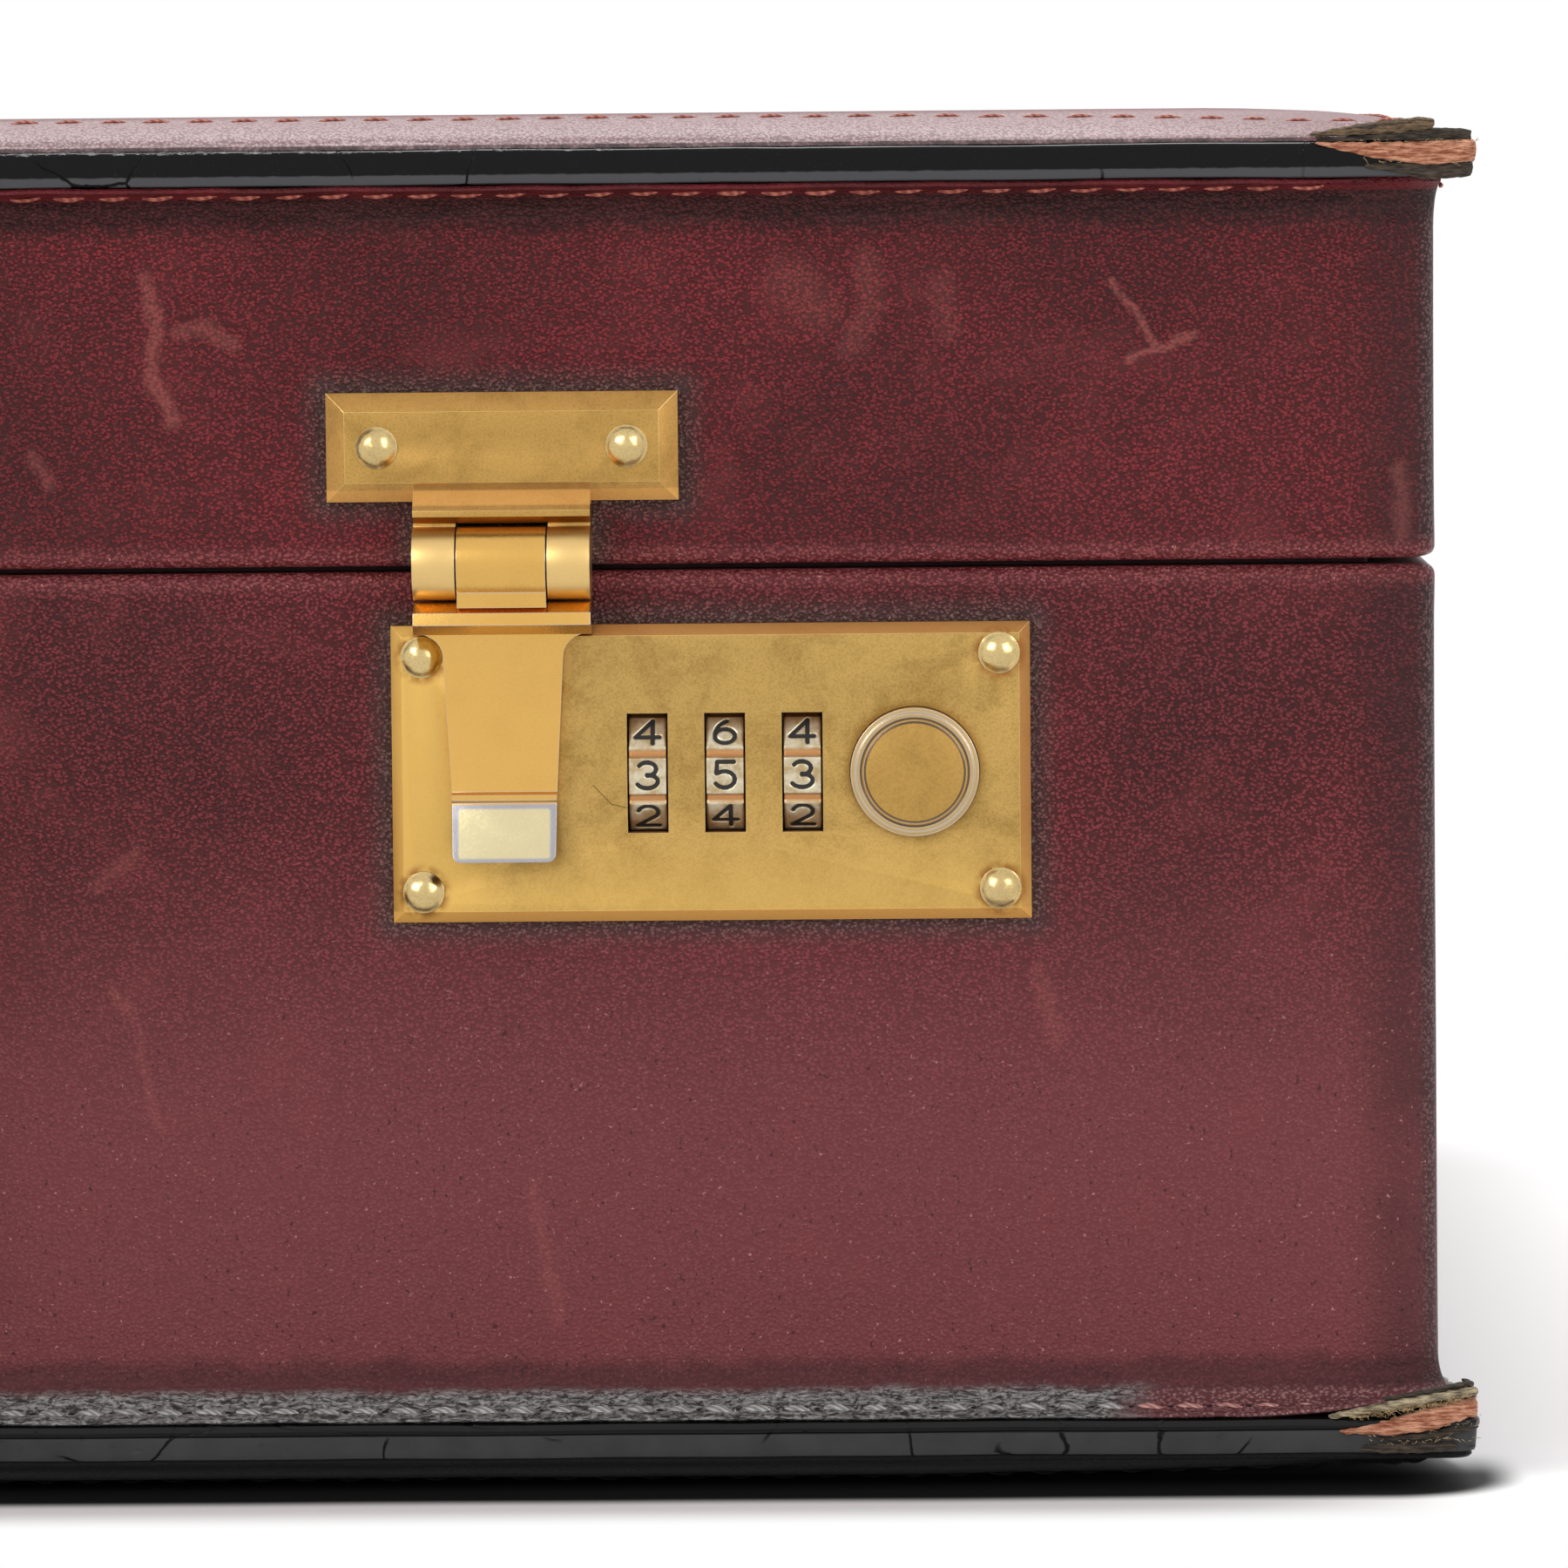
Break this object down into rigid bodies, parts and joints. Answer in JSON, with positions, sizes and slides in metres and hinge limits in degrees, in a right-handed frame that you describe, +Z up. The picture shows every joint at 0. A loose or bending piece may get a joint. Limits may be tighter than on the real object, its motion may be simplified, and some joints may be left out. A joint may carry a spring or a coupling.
{
  "type": "attache case",
  "caption": "Hard attache case in burgundy leather with flared stitched edges, two combination locks with swing hasps, a front handle and a hinged lid on folding stays.",
  "frame": {"origin": "middle of the bottom rest face", "axes": "+Z up, the locks and handle face -Y, +X to the right seen from the front"},
  "size_m": [0.4504, 0.3449, 0.138],
  "materials": {
    "board": "raw plywood",
    "burgundy_leather": "fine-grained burgundy leather, worn",
    "panel_leather": "fine-grained burgundy leather, scuffed",
    "black_edge": "black painted edge, glossy and cracked",
    "suede_lining": "tan suede",
    "inner_leather": "smooth burgundy leather",
    "wheel_brass": "worn satin brass with black engraved numerals",
    "steel": "bright steel",
    "polished_brass": "polished brass",
    "satin_brass": "satin brass with light tarnish"
  },
  "bodies": {
    "case_base": {"base_boards": "board", "base_bottom_board": "board", "base_cover": "burgundy_leather", "base_welt": "black_edge", "base_panel": "panel_leather", "base_lining": "suede_lining", "lip_strips": "inner_leather", "hinge_base_leaf": "satin_brass", "hinge_pin": "steel", "hinge_base_rivets": "polished_brass", "lock_plate_right": "satin_brass", "lock_plate_left": "satin_brass", "lock_housing_right": "steel", "lock_housing_left": "steel", "lock_plate_rivets": "polished_brass", "wheel_axles": "steel", "wheel_springs": "steel", "button_spring_right": "steel", "button_spring_left": "steel", "bolt_spring_right": "steel", "bolt_spring_left": "steel", "handle_plates": "satin_brass", "handle_plate_rivets": "polished_brass", "handle_pins": "steel", "rear_feet": "polished_brass", "stay_base_brackets": "satin_brass"},
    "lid": {"lid_boards": "board", "lid_top_board": "board", "lid_cover": "burgundy_leather", "lid_welt": "black_edge", "lid_panel": "panel_leather", "lid_lining": "suede_lining", "document_pocket": "inner_leather", "hinge_lid_leaf": "satin_brass", "hinge_lid_rivets": "polished_brass", "hasp_plate_right": "satin_brass", "hasp_plate_left": "satin_brass", "hasp_plate_rivets": "polished_brass", "hasp_pins": "steel", "stay_lid_brackets": "satin_brass"},
    "handle": {"handle_links": "satin_brass", "handle_core": "steel", "handle_grip": "inner_leather"},
    "hasp_right": {"hasp_right": "satin_brass"},
    "button_right": {"push_button_right": "satin_brass"},
    "bolt_right": {"latch_bolt_right": "steel"},
    "wheel_right_1": {"number_wheel_right_1": "wheel_brass"},
    "wheel_right_2": {"number_wheel_right_2": "wheel_brass"},
    "wheel_right_3": {"number_wheel_right_3": "wheel_brass"},
    "stay_lower_right": {"stay_lower_right": "satin_brass"},
    "stay_upper_right": {"stay_upper_right": "satin_brass"},
    "hasp_left": {"hasp_left": "satin_brass"},
    "button_left": {"push_button_left": "satin_brass"},
    "bolt_left": {"latch_bolt_left": "steel"},
    "wheel_left_1": {"number_wheel_left_1": "wheel_brass"},
    "wheel_left_2": {"number_wheel_left_2": "wheel_brass"},
    "wheel_left_3": {"number_wheel_left_3": "wheel_brass"},
    "stay_lower_left": {"stay_lower_left": "satin_brass"},
    "stay_upper_left": {"stay_upper_left": "satin_brass"}
  },
  "joints": [
    {"name": "lid_hinge", "type": "hinge", "parent": "case_base", "child": "lid", "pos_m": [0, 0.16305, 0.0926], "axis": [-1, 0, 0], "range_deg": [0, 98]},
    {"name": "stay_lower_right", "type": "hinge", "parent": "case_base", "child": "stay_lower_right", "pos_m": [0.2103, 0.08445, 0.0542], "axis": [-1, 0, 0], "range_deg": [0, 98]},
    {"name": "stay_elbow_right", "type": "hinge", "parent": "stay_lower_right", "child": "stay_upper_right", "pos_m": [0.2095, 0.04265, 0.0808], "axis": [-1, 0, 0], "range_deg": [-98, 0]},
    {"name": "hasp_right", "type": "hinge", "parent": "lid", "child": "hasp_right", "pos_m": [0.1274, -0.1642, 0.09335], "axis": [-1, 0, 0], "range_deg": [0, 110]},
    {"name": "button_right", "type": "slide", "parent": "case_base", "child": "button_right", "axis": [0, 1, 0], "range_m": [0, 0.0018], "stiffness_N_per_m": 600, "springref_m": -0.002, "deforming": ["button_spring_right"]},
    {"name": "bolt_right", "type": "slide", "parent": "case_base", "child": "bolt_right", "axis": [1, 0, 0], "range_m": [0, 0.0022], "deforming": ["bolt_spring_right"]},
    {"name": "wheel_right_1", "type": "hinge", "parent": "case_base", "child": "wheel_right_1", "pos_m": [0.14165, -0.15527, 0.0721], "axis": [-1, 0, 0], "continuous": true},
    {"name": "wheel_right_2", "type": "hinge", "parent": "case_base", "child": "wheel_right_2", "pos_m": [0.1494, -0.15527, 0.0721], "axis": [-1, 0, 0], "continuous": true},
    {"name": "wheel_right_3", "type": "hinge", "parent": "case_base", "child": "wheel_right_3", "pos_m": [0.15715, -0.15527, 0.0721], "axis": [-1, 0, 0], "continuous": true},
    {"name": "stay_lower_left", "type": "hinge", "parent": "case_base", "child": "stay_lower_left", "pos_m": [-0.2103, 0.08445, 0.0542], "axis": [-1, 0, 0], "range_deg": [0, 98]},
    {"name": "stay_elbow_left", "type": "hinge", "parent": "stay_lower_left", "child": "stay_upper_left", "pos_m": [-0.2095, 0.04265, 0.0808], "axis": [-1, 0, 0], "range_deg": [-98, 0]},
    {"name": "hasp_left", "type": "hinge", "parent": "lid", "child": "hasp_left", "pos_m": [-0.1274, -0.1642, 0.09335], "axis": [-1, 0, 0], "range_deg": [0, 110]},
    {"name": "button_left", "type": "slide", "parent": "case_base", "child": "button_left", "axis": [0, 1, 0], "range_m": [0, 0.0018], "stiffness_N_per_m": 600, "springref_m": -0.002, "deforming": ["button_spring_left"]},
    {"name": "bolt_left", "type": "slide", "parent": "case_base", "child": "bolt_left", "axis": [-1, 0, 0], "range_m": [0, 0.0022], "deforming": ["bolt_spring_left"]},
    {"name": "wheel_left_1", "type": "hinge", "parent": "case_base", "child": "wheel_left_1", "pos_m": [-0.14165, -0.15527, 0.0721], "axis": [-1, 0, 0], "continuous": true},
    {"name": "wheel_left_2", "type": "hinge", "parent": "case_base", "child": "wheel_left_2", "pos_m": [-0.1494, -0.15527, 0.0721], "axis": [-1, 0, 0], "continuous": true},
    {"name": "wheel_left_3", "type": "hinge", "parent": "case_base", "child": "wheel_left_3", "pos_m": [-0.15715, -0.15527, 0.0721], "axis": [-1, 0, 0], "continuous": true},
    {"name": "handle_swing", "type": "hinge", "parent": "case_base", "child": "handle", "pos_m": [0, -0.1692, 0.06], "axis": [-1, 0, 0], "range_deg": [0, 170]}
  ],
  "couplings": [
    {"joint": "stay_lower_right", "follows": "lid_hinge", "ratio": 1},
    {"joint": "stay_elbow_right", "follows": "lid_hinge", "ratio": -1},
    {"joint": "bolt_right", "follows": "button_right", "ratio": 1.2222},
    {"joint": "stay_lower_left", "follows": "lid_hinge", "ratio": 1},
    {"joint": "stay_elbow_left", "follows": "lid_hinge", "ratio": -1},
    {"joint": "bolt_left", "follows": "button_left", "ratio": 1.2222}
  ]
}
